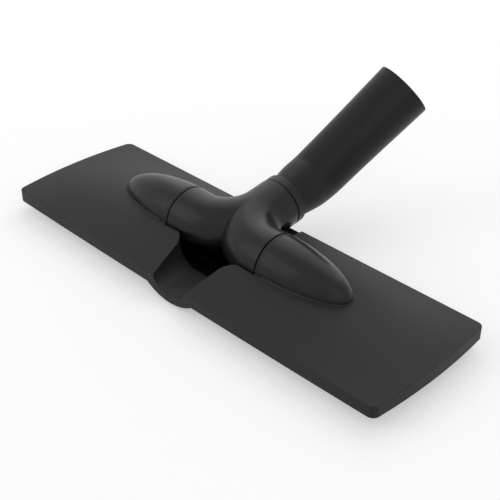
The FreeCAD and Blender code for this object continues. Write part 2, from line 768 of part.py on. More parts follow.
def build_yoke():
    face = hub_halfspan - cell("seam_gap")
    reach, wall, thin = cell("stem_reach"), cell("yoke_wall"), cell("lower_wall")
    stem, far = cell("stem_radius"), cell("sky")
    arm_low, stem_low = hub_radius - cell("part_step"), stem - cell("stem_step")
    split = size(0.05)
    halves = (
        ("yoke_upper", split, far, (hub_radius, stem), wall),
        ("yoke_lower", -far, -split, (arm_low, stem_low), thin),
    )
    for label, low, high, (arm, end), skin in halves:
        outer = whole_yoke(label + "_outer", face, reach, arm, end)
        inner = whole_yoke(label + "_inner", face - skin, reach + 1, arm - skin, stem - wall)
        side = block(label + "_side", -far, far, -far, far, low, high)
        holes = [
            rod(f"{label}_sleeve_hole_{sign}", cell("sleeve_radius"), skin + 2,
                x=(face - skin / 2) * sign - skin / 2 - 1, turn=ALONG_X)
            for sign in SIDES
        ]
        piece = cut(label + "_piece", common(label + "_half", outer, side),
                    fuse(label + "_hollow", inner, *holes))
        piece.Placement = YOKE_PLACE
        node(piece, label)


# Elbow: spigot, bend and tapered tube, held in the stem by a bush, a seal and a clip
ELBOW_PLACE = Placement(HUB_CENTRE, STEM_TURN * Rotation(Vector(0, 1, 0), SIZE_LIST["swivel"]))


def elbow_ring(name, along, radius):
    """A circle square to the centre line, at a distance along it from the tilt axis."""
    bend, corner = cell("elbow_bend"), cell("stem_reach") + cell("elbow_corner")
    along, bend_radius = size(along), cell("elbow_radius")
    cut_back = bend_radius * tangent(bend / 2)
    arc = bend_radius * bend * (math.pi / 180)
    start = corner - cut_back
    if along.value <= start.value:
        angle, y, z = size(0), along, size(0)
    elif along.value >= (start + arc).value:
        past = along - start - arc + cut_back
        angle, y, z = bend, corner + past * cosine(bend), past * sine(bend)
    else:
        angle = (along - start) / bend_radius * (180 / math.pi)
        y, z = start + bend_radius * sine(angle), bend_radius - bend_radius * cosine(angle)
    ring = ring_sketch(name, radius, Placement(Vector(), Rotation(Vector(1, 0, 0), 90)))
    return bind(ring, Placement__Base__y=y, Placement__Base__z=z,
                Placement__Rotation__Angle=angle + 90)


def elbow_loft(name, start, end, radii):
    """A smooth pipe through rings that are evenly spaced along the centre line."""
    step = (end - start) / (len(radii) - 1)
    return loft(name, [
        elbow_ring(f"{name}_{i}", start + step * i, radius) for i, radius in enumerate(radii)
    ])


# How the elbow swells from its neck to the bend, flares to its mouth and widens inside
SWELL = (0, 0.5, 0.84, 0.97)
FLARE = (0.03, 0.09, 0.18, 0.29, 0.41, 0.56, 0.71, 0.85, 1)
PASSAGE = (0, 0, 0, 0.2, 0.575, 0.8, 0.86, 0.9, 0.94, 0.975, 1)


def elbow_end():
    """Length of the centre line from the tilt axis to the mouth."""
    bend, bend_radius = cell("elbow_bend"), cell("elbow_radius")
    corner = cell("stem_reach") + cell("elbow_corner")
    saved = bend_radius * tangent(bend / 2) * 2 - bend_radius * bend * (math.pi / 180)
    return corner + cell("tube_length") - saved


def build_elbow():
    reach = cell("stem_reach")
    neck, spigot = cell("neck_radius"), cell("spigot_radius")
    belly, mouth = cell("bend_radius"), cell("mouth_radius")
    ring_start = reach + cell("collar_gap")
    ring_end = ring_start + cell("ring_width")
    corner, end = reach + cell("elbow_corner"), elbow_end()
    radii = [neck + (belly - neck) * share for share in SWELL]
    radii += [belly + (mouth - belly) * share for share in FLARE]
    outer = elbow_loft("elbow_outer", ring_end, end, radii)
    neck_part = rod("elbow_neck", neck - 0.1, cell("ring_width") + 1, y=ring_start,
                    turn=ALONG_Y)
    inner_end = ring_start - cell("spigot_length")
    spigot_part = rod("elbow_spigot", spigot, cell("spigot_length") + 1, y=inner_end,
                      turn=ALONG_Y)
    inside = spigot - cell("spigot_wall")
    shoulder = end - cell("socket_depth")
    core = cell("socket_radius") - cell("socket_step")
    hollow = elbow_loft("elbow_hollow", inner_end - 1, shoulder + 1,
                        [inside + (core - inside) * share for share in PASSAGE])
    bend, past = cell("elbow_bend"), cell("tube_length") - cell("socket_depth")
    socket = rod("elbow_socket", cell("socket_radius"), cell("socket_depth") + 1,
                 y=corner + past * cosine(bend), z=past * sine(bend),
                 turn=Rotation(Vector(1, 0, 0), bend.value - 90))
    solid = fuse("elbow_solid", outer, neck_part, spigot_part)
    piece = cut("elbow_piece", cut("elbow_passage", solid, hollow), socket)
    piece.Placement = ELBOW_PLACE
    node(piece, "elbow_tube")


def build_swivel():
    """The flange ring, seal, bush and clip round the spigot."""
    reach = cell("stem_reach")
    stem_bore = cell("stem_radius") - cell("yoke_wall")
    spigot, clear = cell("spigot_radius"), cell("running_clearance")
    start = reach + cell("collar_gap")
    ring_end = start + cell("ring_width") - 0.05
    ring, collar = cell("ring_radius"), cell("neck_radius") + 0.05
    inner = start - cell("spigot_length")
    rings = {
        "swivel_ring": [
            (start, collar), (ring_end, collar),
            (ring_end, ring - 0.5), (ring_end - 0.5, ring), (start + 0.3, ring),
            (start, ring - 0.3),
        ],
        "swivel_seal": rectangle(start - 2.2, start - 0.5, spigot + clear, stem_bore - 0.4),
        "swivel_bush": rectangle(inner + 3, start - 2.4, spigot + clear, stem_bore - 0.5),
        "retaining_clip": rectangle(inner + 1, inner + 2.6, spigot + 0.02, stem_bore - 0.9),
    }
    for name, points in rings.items():
        body = turned(name + "_body", points, "Y")
        body.Placement = (ELBOW_PLACE if name != "swivel_bush" else YOKE_PLACE).multiply(
            Placement(Vector(), Rotation(Vector(0, 0, 1), 90)))
        for axis in "xyz":
            body.setExpression(f"Placement.Base.{axis}", None)
        node(body, name)


build_cover()
for _sign, _side in ((-1, "left"), (1, "right")):
    node(build_plate(_sign, _side), f"sole_plate_{_side}")
    build_strip(f"front_{_side}", strip_front(_sign, cell("strip_width")),
                strip_front(_sign, cell("bristle_width")),
                [p for p in FRONT_PEGS if p[0].value * _sign > 0])
    build_wheel(_sign, _side)
    build_pivot(_sign, _side)
build_strip("rear", strip_u(cell("strip_width")), strip_u(cell("bristle_width")),
            END_PEGS + REAR_PEGS)
build_screws()
build_yoke()
build_elbow()
build_swivel()

doc.recompute()
failed = [o.Name for o in doc.Objects if "Invalid" in o.State or "Error" in o.State]
if failed:
    raise RuntimeError(f"objects that failed: {failed}")
os.makedirs("parts", exist_ok=True)
for item, name in NODES:
    shape = item.Shape
    if shape.isNull() or not shape.isValid():
        raise RuntimeError(f"{name} has no valid shape")
    shape.exportStep(f"parts/{name}.step")
    box = shape.BoundBox
    print(name, len(shape.Solids), round(shape.Volume, 1),
          [round(v, 1) for v in (box.XMin, box.XMax, box.YMin, box.YMax, box.ZMin, box.ZMax)])
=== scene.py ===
"""Looks of a wide, low hard floor brush: its studio, its finishes and its finely shaped pieces."""
import json
import logging
import math
import random
from dataclasses import dataclass
from enum import Enum
from typing import Sequence

import bmesh
import bpy
from mathutils import Matrix, Vector
from mathutils.bvhtree import BVHTree


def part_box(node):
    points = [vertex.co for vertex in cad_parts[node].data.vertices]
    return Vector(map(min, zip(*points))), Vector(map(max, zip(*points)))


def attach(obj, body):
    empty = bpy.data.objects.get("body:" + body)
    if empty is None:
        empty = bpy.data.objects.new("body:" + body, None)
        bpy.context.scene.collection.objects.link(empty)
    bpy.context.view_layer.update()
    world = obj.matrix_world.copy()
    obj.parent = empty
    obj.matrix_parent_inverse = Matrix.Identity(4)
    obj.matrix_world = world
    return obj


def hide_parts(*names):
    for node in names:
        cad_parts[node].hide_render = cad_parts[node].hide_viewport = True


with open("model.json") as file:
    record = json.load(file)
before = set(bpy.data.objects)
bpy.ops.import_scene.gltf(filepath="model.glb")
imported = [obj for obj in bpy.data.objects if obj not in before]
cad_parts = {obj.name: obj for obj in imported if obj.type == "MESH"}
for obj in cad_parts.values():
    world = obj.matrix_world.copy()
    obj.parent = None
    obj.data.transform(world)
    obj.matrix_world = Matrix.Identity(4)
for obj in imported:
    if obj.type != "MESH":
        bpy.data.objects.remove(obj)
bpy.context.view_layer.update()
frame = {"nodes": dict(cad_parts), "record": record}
LOG = logging.getLogger("floor_brush")
MM = 0.001
WELD = 1e-7
TINY = 1e-9
ALONG = Vector((1.0, 0.0, 0.0))
UP = Vector((0.0, 0.0, 1.0))
DOWN = Vector((0.0, 0.0, -1.0))
WHITE = (1.0, 1.0, 1.0, 1.0)


class Grain(Enum):
    """How a surface is broken up."""

    SPARK = "fine spark-eroded texture"
    SATIN = "smooth satin"
    BRUSHED = "drawn or turned lines"
    FIBRE = "matted fibres"


class CoverZone(Enum):
    """The parts of the cover that differ in finish, by their place in its material slots."""

    SHELL = 0
    # Pocket faces get the darker sole finish: partly its black inner plastic, partly painted
    # shade.
    POCKET_SHADE = 1
    PODS = 2


@dataclass(frozen=True)
class Finish:
    """One finish of the object, built as a node material on Object coordinates."""

    name: str
    colour: tuple[float, float, float]
    roughness: float
    grain: Grain = Grain.SATIN
    grain_size: float = 0.0006
    relief: float = 0.1
    metallic: float = 0.0
    edge: float = 0.0005
    specular: float = 0.5
    coat: float = 0.0
    coat_roughness: float = 0.16
    drawn_out: float = 12.0
    plain_detail: float = 2.0
    fibre_detail: float = 4.0
    relief_depth: float = 0.5
    edge_samples: int = 6
    cloud_scale: float = 18.0
    cloud_detail: float = 3.0
    cloud_spread: float = 0.05
    least_roughness: float = 0.02

    def build(self) -> bpy.types.Material:
        """Build the material.

        Returns:
            The new node material.
        """
        material = bpy.data.materials.new(self.name)
        material.use_nodes = True
        tree = material.node_tree
        shader = tree.nodes["Principled BSDF"]
        shader.inputs["Base Color"].default_value = (*self.colour, 1.0)
        shader.inputs["Roughness"].default_value = self.roughness
        shader.inputs["Metallic"].default_value = self.metallic
        shader.inputs["Specular IOR Level"].default_value = self.specular
        shader.inputs["Coat Weight"].default_value = self.coat
        shader.inputs["Coat Roughness"].default_value = self.coat_roughness
        place = tree.nodes.new("ShaderNodeTexCoord")
        stretch = tree.nodes.new("ShaderNodeMapping")
        if self.grain is Grain.BRUSHED:
            stretch.inputs["Scale"].default_value = (1.0, 1.0, self.drawn_out)
        tree.links.new(place.outputs["Object"], stretch.inputs["Vector"])
        detail = self.fibre_detail if self.grain is Grain.FIBRE else self.plain_detail
        noise = self._noise(tree, stretch, 1.0 / self.grain_size, detail)
        bump = tree.nodes.new("ShaderNodeBump")
        bump.inputs["Strength"].default_value = self.relief
        bump.inputs["Distance"].default_value = self.grain_size * self.relief_depth
        tree.links.new(noise.outputs["Fac"], bump.inputs["Height"])
        if self.edge > 0.0:
            soft = tree.nodes.new("ShaderNodeBevel")
            soft.samples = self.edge_samples
            soft.inputs["Radius"].default_value = self.edge
            tree.links.new(soft.outputs["Normal"], bump.inputs["Normal"])
        tree.links.new(bump.outputs["Normal"], shader.inputs["Normal"])
        self._mottle(tree, shader, stretch)
        return material

    def _noise(self, tree: bpy.types.NodeTree, stretch: bpy.types.Node, scale: float,
               detail: float) -> bpy.types.Node:
        """Add a noise pattern that follows the stretched coordinates.

        Args:
            tree: The material's nodes.
            stretch: The node that gives the coordinates.
            scale: How many of its grains lie along a metre.
            detail: How many finer layers it has.

        Returns:
            The noise node.
        """
        noise = tree.nodes.new("ShaderNodeTexNoise")
        noise.inputs["Scale"].default_value = scale
        noise.inputs["Detail"].default_value = detail
        tree.links.new(stretch.outputs["Vector"], noise.inputs["Vector"])
        return noise

    def _mottle(self, tree: bpy.types.NodeTree, shader: bpy.types.Node,
                stretch: bpy.types.Node) -> None:
        """Vary the roughness a little, as handling and moulding do.

        Args:
            tree: The material's nodes.
            shader: Its surface shader.
            stretch: The node that gives the coordinates.
        """
        cloud = self._noise(tree, stretch, self.cloud_scale, self.cloud_detail)
        spread = tree.nodes.new("ShaderNodeMapRange")
        smoothest = max(self.roughness - self.cloud_spread, self.least_roughness)
        spread.inputs["To Min"].default_value = smoothest
        spread.inputs["To Max"].default_value = min(self.roughness + self.cloud_spread, 1.0)
        tree.links.new(cloud.outputs["Fac"], spread.inputs["Value"])
        tree.links.new(spread.outputs["Result"], shader.inputs["Roughness"])


COVER = Finish("cover_plastic", (0.019, 0.019, 0.0195), 0.50, Grain.SPARK, 0.0005, 0.25,
               specular=0.2)
YOKE = Finish("yoke_plastic", (0.010, 0.010, 0.0104), 0.36, Grain.SATIN, 0.0009, 0.05,
              specular=0.17, coat=0.15)
TUBE = Finish("tube_plastic", (0.0055, 0.0055, 0.0058), 0.42, Grain.SPARK, 0.0005, 0.12,
              specular=0.19, coat=0.08)
# The soles' own near-black plastic, made darker still so that it also serves as painted shade in
# the pocket and under the yoke.
SOLE_AND_SHADE = Finish("sole_plastic", (0.003, 0.003, 0.0032), 0.28, Grain.SATIN, 0.0009, 0.05,
              specular=0.2, coat=0.35)
BRISTLE = Finish("bristle_hair", (0.010, 0.010, 0.010), 0.5, Grain.FIBRE, 0.0002, 0.3, edge=0.0)
FELT = Finish("felt", (0.002, 0.002, 0.002), 0.95, Grain.FIBRE, 0.0003, 0.6, specular=0.1)
BEARING = Finish("bearing_plastic", (0.035, 0.035, 0.036), 0.3, Grain.SATIN, 0.0009, 0.03)
TREAD = Finish("tread_rubber", (0.010, 0.010, 0.010), 0.7, Grain.SPARK, 0.0004, 0.3)
STEEL = Finish("zinc_steel", (0.52, 0.52, 0.50), 0.32, Grain.BRUSHED, 0.0006, 0.1,
               metallic=1.0)

SLOT_FINISH = {
    "cover": COVER, "yoke": YOKE, "tube": TUBE, "sole": SOLE_AND_SHADE, "bristle": BRISTLE,
    "felt": FELT, "bearing": BEARING, "tread": TREAD, "steel": STEEL,
}


def as_mesh(name: str, bm: bmesh.types.BMesh) -> bpy.types.Mesh:
    """Turn a bmesh into a mesh and free it.

    Args:
        name: The mesh's name.
        bm: The bmesh, which is used up.

    Returns:
        The new mesh.
    """
    mesh = bpy.data.meshes.new(name)
    bm.to_mesh(mesh)
    bm.free()
    return mesh


def linked(name: str, data: bpy.types.ID) -> bpy.types.Object:
    """Make an object of some data and put it in the scene.

    Args:
        name: The object's name.
        data: Its mesh, lamp or camera data.

    Returns:
        The new object.
    """
    made = bpy.data.objects.new(name, data)
    bpy.context.scene.collection.objects.link(made)
    return made


def add_copy(bm: bmesh.types.BMesh, mesh: bpy.types.Mesh, x: float, y: float,
             turn: float) -> None:
    """Add a copy of a mesh, turned upright and moved over the floor.

    Args:
        bm: The mesh that gets the copy.
        mesh: The mesh that is copied.
        x: How far it moves along the head.
        y: How far it moves to the rear.
        turn: Its turn about the upright axis.
    """
    start = len(bm.verts)
    bm.from_mesh(mesh)
    bm.verts.ensure_lookup_table()
    place = Matrix.Translation((x, y, 0.0)) @ Matrix.Rotation(turn, 4, "Z")
    bmesh.ops.transform(bm, matrix=place, verts=bm.verts[start:])


def soften(bm: bmesh.types.BMesh, crease: float) -> None:
    """Shade a mesh smoothly between its creases.

    Args:
        bm: The mesh.
        crease: The least angle in degrees that stays sharp.
    """
    for face in bm.faces:
        face.smooth = True
    for edge in bm.edges:
        edge.smooth = edge.calc_face_angle(0.0) < math.radians(crease)


def spun(profile: Sequence[tuple[float, float]], axis: Vector, across: Vector,
         steps: int) -> bmesh.types.BMesh:
    """Turn a closed profile about the axis through the origin.

    Args:
        profile: Pairs of a place along the axis and a radius.
        axis: The axis.
        across: The direction in which radii are drawn.
        steps: Faces round the turn.

    Returns:
        The turned mesh with its normals outwards.
    """
    bm = bmesh.new()
    corners = [bm.verts.new(axis * along + across * radius) for along, radius in profile]
    for first, second in zip(corners, corners[1:] + corners[:1]):
        bm.edges.new((first, second))
    bmesh.ops.spin(bm, geom=bm.verts[:] + bm.edges[:], cent=(0.0, 0.0, 0.0), axis=axis,
                   angle=math.tau, steps=steps, use_merge=True)
    bmesh.ops.remove_doubles(bm, verts=bm.verts, dist=WELD)
    bmesh.ops.dissolve_degenerate(bm, edges=bm.edges, dist=WELD)
    bmesh.ops.recalc_face_normals(bm, faces=bm.faces)
    return bm


def seen_directly(tree: bpy.types.NodeTree) -> bpy.types.Node:
    """Tell the rays that see the background: straight, mirrored or through glass.

    Args:
        tree: The nodes that get the test.

    Returns:
        The node whose output is 1 for such a ray.
    """
    path = tree.nodes.new("ShaderNodeLightPath")
    first = tree.nodes.new("ShaderNodeMath")
    first.operation = "MAXIMUM"
    tree.links.new(path.outputs["Is Camera Ray"], first.inputs[0])
    tree.links.new(path.outputs["Is Glossy Ray"], first.inputs[1])
    both = tree.nodes.new("ShaderNodeMath")
    both.operation = "MAXIMUM"
    tree.links.new(first.outputs[0], both.inputs[0])
    tree.links.new(path.outputs["Is Transmission Ray"], both.inputs[1])
    return both


@dataclass(frozen=True)
class Lamp:
    """One soft square lamp, with its side in metres and its power in watts."""

    name: str
    place: tuple[float, float, float]
    side: float
    power: float
    aim: tuple[float, float, float] = (0.0, 0.0, 0.0)

    def hang(self) -> None:
        """Hang the lamp so that it faces its aim."""
        data = bpy.data.lights.new(self.name, "AREA")
        data.size = self.side
        data.energy = self.power
        lamp = linked(self.name, data)
        turn = (Vector(self.aim) - Vector(self.place)).to_track_quat("-Z", "Y")
        lamp.matrix_world = Matrix.Translation(self.place) @ turn.to_matrix().to_4x4()


@dataclass
class Studio:
    """Floor, soft lamps, background and the camera of the photograph."""

    eye: tuple[float, float, float] = (0.3652, -0.3529, 0.3501)
    look: tuple[float, float, float] = (-0.5872, 0.5931, -0.5508)
    roll: float = 0.266
    lens: float = 73.04
    sensor: float = 36.0
    nearest: float = 0.01
    floor_size: float = 6.0
    floor_colour: tuple[float, float, float] = (0.80, 0.80, 0.80)
    floor_roughness: float = 0.9
    floor_specular: float = 0.1
    glow: float = 0.42
    sky: float = 0.46
    lamps: tuple[Lamp, ...] = (
        Lamp("key", (-0.55, 1.1, 1.1), 1.8, 7.5),
        Lamp("fill", (1.3, -0.6, 1.2), 1.4, 2.5),
        Lamp("front", (-0.9, -1.2, 1.0), 1.2, 4.0, aim=(0.0, 0.0, 0.02)),
    )

    def build(self) -> None:
        """Set up the whole studio."""
        scene = bpy.context.scene
        scene.view_settings.view_transform = "Standard"
        self._camera(scene)
        self._world(scene)
        self._floor()
        for lamp in self.lamps:
            lamp.hang()

    def _camera(self, scene: bpy.types.Scene) -> None:
        """Place the camera as the photograph was taken.

        Args:
            scene: The scene that gets the camera.
        """
        data = bpy.data.cameras.new("photo_camera")
        data.lens = self.lens
        data.sensor_width = self.sensor
        data.clip_start = self.nearest
        camera = linked("photo_camera", data)
        turn = Vector(self.look).to_track_quat("-Z", "Y").to_matrix().to_4x4()
        tilt = Matrix.Rotation(math.radians(self.roll), 4, "Z")
        camera.matrix_world = Matrix.Translation(self.eye) @ turn @ tilt
        scene.camera = camera

    def _world(self, scene: bpy.types.Scene) -> None:
        """Give an even sky that the camera and shiny faces see as white.

        Args:
            scene: The scene that gets the world.
        """
        world = bpy.data.worlds.new("soft_sky")
        world.use_nodes = True
        tree = world.node_tree
        sky = tree.nodes["Background"]
        sky.inputs["Color"].default_value = WHITE
        sky.inputs["Strength"].default_value = self.sky
        white = tree.nodes.new("ShaderNodeBackground")
        white.inputs["Color"].default_value = WHITE
        white.inputs["Strength"].default_value = 1.0
        mix = tree.nodes.new("ShaderNodeMixShader")
        seen = seen_directly(tree)
        tree.links.new(seen.outputs[0], mix.inputs[0])
        tree.links.new(sky.outputs[0], mix.inputs[1])
        tree.links.new(white.outputs[0], mix.inputs[2])
        tree.links.new(mix.outputs[0], tree.nodes["World Output"].inputs["Surface"])
        scene.world = world

    def _floor(self) -> None:
        """Lay a pale floor that looks white and keeps the shadow."""
        bm = bmesh.new()
        bmesh.ops.create_grid(bm, x_segments=1, y_segments=1, size=self.floor_size)
        floor = linked("floor", as_mesh("floor", bm))
        material = bpy.data.materials.new("floor_white")
        material.use_nodes = True
        tree = material.node_tree
        shader = tree.nodes["Principled BSDF"]
        shader.inputs["Base Color"].default_value = (*self.floor_colour, 1.0)
        shader.inputs["Roughness"].default_value = self.floor_roughness
        shader.inputs["Specular IOR Level"].default_value = self.floor_specular
        light = tree.nodes.new("ShaderNodeEmission")
        seen = seen_directly(tree)
        power = tree.nodes.new("ShaderNodeMath")
        power.operation = "MULTIPLY"
        power.inputs[1].default_value = self.glow
        total = tree.nodes.new("ShaderNodeAddShader")
        tree.links.new(seen.outputs[0], power.inputs[0])
        tree.links.new(power.outputs[0], light.inputs["Strength"])
        tree.links.new(shader.outputs[0], total.inputs[0])
        tree.links.new(light.outputs[0], total.inputs[1])
        tree.links.new(total.outputs[0], tree.nodes["Material Output"].inputs["Surface"])
        floor.data.materials.append(material)


class Workshop:
    """Keeps the built finishes and turns meshes into finished pieces."""

    def __init__(self) -> None:
        """Build every finish once."""
        self.built: dict[str, bpy.types.Material] = {
            slot: finish.build() for slot, finish in SLOT_FINISH.items()}

    def piece(self, name: str, bm: bmesh.types.BMesh, body: str,
              slots: Sequence[str]) -> bpy.types.Object:
        """Make a piece from a mesh and let it ride on a body.

        Args:
            name: The piece's name.
            bm: Its mesh, which is used up.
            body: The body that carries it.
            slots: Its material slots, each named by its finish; the first is its main one.

        Returns:
            The new piece.
        """
        mesh = as_mesh(name, bm)
        if "custom_normal" in mesh.attributes:
            mesh.attributes.remove(mesh.attributes["custom_normal"])
        for slot in slots:
            mesh.materials.append(self.built[slot])
        made = linked(name, mesh)
        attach(made, body)
        LOG.info("built %s with %d faces", name, len(mesh.polygons))
        return made

    def dress(self, name: str, slot: str) -> None:
        """Give a CAD node the finish of its material slot.

        Args:
            name: The node's name.
            slot: Its material slot.
        """
        node = frame["nodes"][name]
        node.data.materials.clear()
        node.data.materials.append(self.built[slot])
        LOG.info("dressed %s", name)


@dataclass
class Moulding:
    """A moulded shape taken over from its node, merged and shaded smoothly."""

    node: str
    body: str
    slot: str
    crease: float = 28.0
    weld: float = 2e-6

    def mesh(self) -> bmesh.types.BMesh:
        """Merge a copy of the node's mesh.

        Returns:
            The merged copy.
        """
        bm = bmesh.new()
        bm.from_mesh(frame["nodes"][self.node].data)
        bmesh.ops.remove_doubles(bm, verts=bm.verts, dist=self.weld)
        for face in bm.faces:
            face.material_index = 0
        soften(bm, self.crease)
        return bm

    def build(self, shop: Workshop) -> bpy.types.Object:
        """Make the smooth piece in the node's place.

        Args:
            shop: The workshop that dresses it.

        Returns:
            The new piece.
        """
        made = shop.piece(self.node + "_skin", self.mesh(), self.body, (self.slot,))
        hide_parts(self.node)
        return made


@dataclass
class Elbow(Moulding):
    """The bent tube, with its bend eased into one soft curve."""

    node: str = "elbow_tube"
    body: str = "elbow"
    slot: str = "tube"
    bend: tuple[float, float, float] = (0.002, 0.0642, 0.0517)
    across: tuple[float, float, float] = (0.06, 0.93, 0.36)
    reach: float = 0.006
    cuts: int = 9
    cut_snap: float = 1e-6
    passes: int = 14
    pull: float = 0.5

    def mesh(self) -> bmesh.types.BMesh:
        """Merge a copy of the tube and ease its bend.

        Returns:
            The eased copy.
        """
        bm = super().mesh()
        middle, normal = Vector(self.bend), Vector(self.across).normalized()
        for step in range(self.cuts):
            share = 2.0 * step / (self.cuts - 1) - 1.0
            bmesh.ops.bisect_plane(bm, geom=bm.verts[:] + bm.edges[:] + bm.faces[:],
                                   dist=self.cut_snap,
                                   plane_co=middle + normal * self.reach * share,
                                   plane_no=normal)
        near = [corner for corner in bm.verts
                if abs((corner.co - middle).dot(normal)) < self.reach]
        for _ in range(self.passes):
            bmesh.ops.smooth_vert(bm, verts=near, factor=self.pull, use_axis_x=True,
                                  use_axis_y=True, use_axis_z=True)
        soften(bm, self.crease)
        return bm


@dataclass
class Cover(Moulding):
    """The wide cover with its two pods, its trough and the pocket behind it, whose dark finish is
    partly painted shade.
    """

    node: str = "top_cover"
    body: str = "head"
    slot: str = "cover"
    trough_end: float = -0.0212
    pocket_half: float = 0.034
    pocket_top: float = 0.0225
    pod_reach: tuple[float, float] = (0.0402, 0.094)
    pod_half: float = 0.0190
    pod_margin: float = 0.0004
    pod_low: float = 0.012
    facing_down: float = -0.3
    least_crease: float = 0.25
    open_above: float = 0.0001
    above: float = 0.2
    fillet: float = 0.0013
    fillet_steps: int = 120
    fillet_crease: float = 50.0
    fillet_passes: int = 4
    head_share: float = 0.35
    hollow_steps: tuple[float, ...] = (0.0, 0.25, 0.5, 0.75, 1.0)
    buried: float = 0.0006
    tucked: float = 0.0002

    def build(self, shop: Workshop) -> bpy.types.Object:
        """Make the cover with its pocket darkened as painted shade, and the fillets round its
        pods.

        Args:
            shop: The workshop that dresses it.

        Returns:
            The new cover.
        """
        bm = self.mesh()
        # Painted shade: the pocket's faces take the near-black sole finish.
        self._paint_pocket_shade(bm)
        outer = BVHTree.FromBMesh(bm)
        outline = self._pod_outline(bm, outer)
        lines = [self._ordered([p for p in outline if p.x * side > 0.0], side)
                 for side in (-1.0, 1.0)]
        self._polish_pods(bm, lines)
        # The second slot holds the pocket's painted shade and the third holds the pods' satin.
        made = shop.piece("top_cover_skin", bm, self.body, (self.slot, "sole", "yoke"))
        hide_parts(self.node)
        for name, line in zip(("left", "right"), lines):
            shop.piece("pod_fillet_" + name, self._fillet(outer, line), self.body, (self.slot,))
        return made

    def _polish_pods(self, bm: bmesh.types.BMesh, lines: Sequence[Sequence[Vector]]) -> None:
        """Give the pods the satin finish of the yoke between them.

        Args:
            bm: The cover's mesh.
            lines: The crease at the foot of each pod, in order.
        """
        near, far = self.pod_reach
        for face in bm.faces:
            centre = face.calc_center_median()
            if not near - self.pod_margin < abs(centre.x) < far or centre.z < self.pod_low:
                continue
            if face.material_index != CoverZone.SHELL.value or face.normal.z < self.facing_down:
                continue
            side = 1.0 if centre.x > 0.0 else -1.0
            foot = near * side
            turn = math.atan2(centre.y, (centre.x - foot) * side)
            edge = min(lines[int(side > 0.0)],
                       key=lambda p: abs(math.atan2(p.y, (p.x - foot) * side) - turn))
            if math.hypot(centre.x - foot, centre.y) < math.hypot(edge.x - foot, edge.y):
                face.material_index = CoverZone.PODS.value

    def _paint_pocket_shade(self, bm: bmesh.types.BMesh) -> None:
        """Paint shade into the pocket behind the trough by giving it the darker sole finish, which
        partly stands for its black inner plastic.

        Args:
            bm: The cover's mesh.
        """
        for face in bm.faces:
            centre = face.calc_center_median()
            inside = abs(centre.x) < self.pocket_half and centre.z < self.pocket_top
            # Painted shade: faces inside the pocket take the darker sole finish.
            if inside and self.trough_end < centre.y < -self.trough_end:
                face.material_index = CoverZone.POCKET_SHADE.value

    def _pod_outline(self, bm: bmesh.types.BMesh, outer: BVHTree) -> list[Vector]:
        """Find the hollow crease where the pods rise from the cover.

        Args:
            bm: The cover's mesh.
            outer: The cover's surface.

        Returns:
            Points on the crease.
        """
        near, far = self.pod_reach
        found: list[Vector] = []
        for edge in bm.edges:
            hollow = edge.is_manifold and not edge.is_convex
            if not hollow or edge.calc_face_angle(0.0) <= self.least_crease:
                continue
            for place in (corner.co for corner in edge.verts):
                within = near < abs(place.x) < far and abs(place.y) < self.pod_half
                if within and self._surface(outer, place).z - place.z < self.open_above:
                    found.append(place.copy())
        return found

    def _fillet(self, outer: BVHTree, line: Sequence[Vector]) -> bmesh.types.BMesh:
        """Lay a hollow fillet along one pod's crease.

        Args:
            outer: The cover's surface.
            line: The crease's points in order.

        Returns:
            The fillet's mesh.
        """
        bm = bmesh.new()
        rings = [self._section(bm, outer, line, index) for index in range(len(line))]
        for first, second in zip(rings, rings[1:]):
            bmesh.ops.bridge_loops(bm, edges=first + second)
        for ring in (rings[0], rings[-1]):
            bmesh.ops.edgeloop_fill(bm, edges=ring)
        bmesh.ops.recalc_face_normals(bm, faces=bm.faces)
        soften(bm, self.fillet_crease)
        return bm

    def _ordered(self, outline: Sequence[Vector], side: float) -> list[Vector]:
        """Put the crease's points in order round the pod, evenly spaced.

        Points at one angle follow each other by their distance from the origin.

        Args:
            outline: Points on the crease.
            side: 1 for the right pod and -1 for the left.

        Returns:
            The points from one end of the crease to the other.
        """
        start = Vector((self.pod_reach[0] * side, 0.0, 0.0))
        turn = sorted((math.atan2(p.y - start.y, (p.x - start.x) * side), p) for p in outline)
        low, high = turn[0][0], turn[-1][0]
        even: list[Vector] = []
        for step in range(self.fillet_steps + 1):
            want = low + (high - low) * step / self.fillet_steps
            after = next((k for k, row in enumerate(turn) if row[0] >= want), len(turn) - 1)
            before = max(after - 1, 0)
            span = turn[after][0] - turn[before][0]
            share = (want - turn[before][0]) / span if span > TINY else 0.0
            even.append(turn[before][1].lerp(turn[after][1], min(max(share, 0.0), 1.0)))
        for _ in range(self.fillet_passes):
            inner = [(a + b * 2 + c) / 4 for a, b, c in zip(even, even[1:], even[2:])]
            even = [even[0]] + inner + [even[-1]]
        return even

    def _section(self, bm: bmesh.types.BMesh, outer: BVHTree, line: Sequence[Vector],
                 index: int) -> list[bmesh.types.BMEdge]:
        """Draw the fillet's section at one point of the crease.

        Args:
            bm: The mesh that gets it.
            outer: The cover's surface.
            line: The crease's points in order.
            index: The point's place in the line.

        Returns:
            The section's closed ring of edges.
        """
        here = line[index]
        along = line[min(index + 1, len(line) - 1)] - line[max(index - 1, 0)]
        outwards = Vector((along.y, -along.x, 0.0)).normalized()
        if outwards.x * here.x < 0.0 and abs(outwards.x) > abs(outwards.y):
            outwards.negate()
        foot = self._surface(outer, here + outwards * self.fillet)
        head = self._surface(outer, here - outwards * self.fillet * self.head_share)
        if head.z - here.z > self.fillet:
            head = here.lerp(head, self.fillet / (head.z - here.z))
        hollow = [foot.lerp(here, t).lerp(here.lerp(head, t), t) for t in self.hollow_steps]
        deep = here - Vector((0.0, 0.0, self.buried)) - outwards * self.tucked
        corners = [bm.verts.new(point) for point in hollow + [deep]]
        return [bm.edges.new(pair) for pair in zip(corners, corners[1:] + corners[:1])]

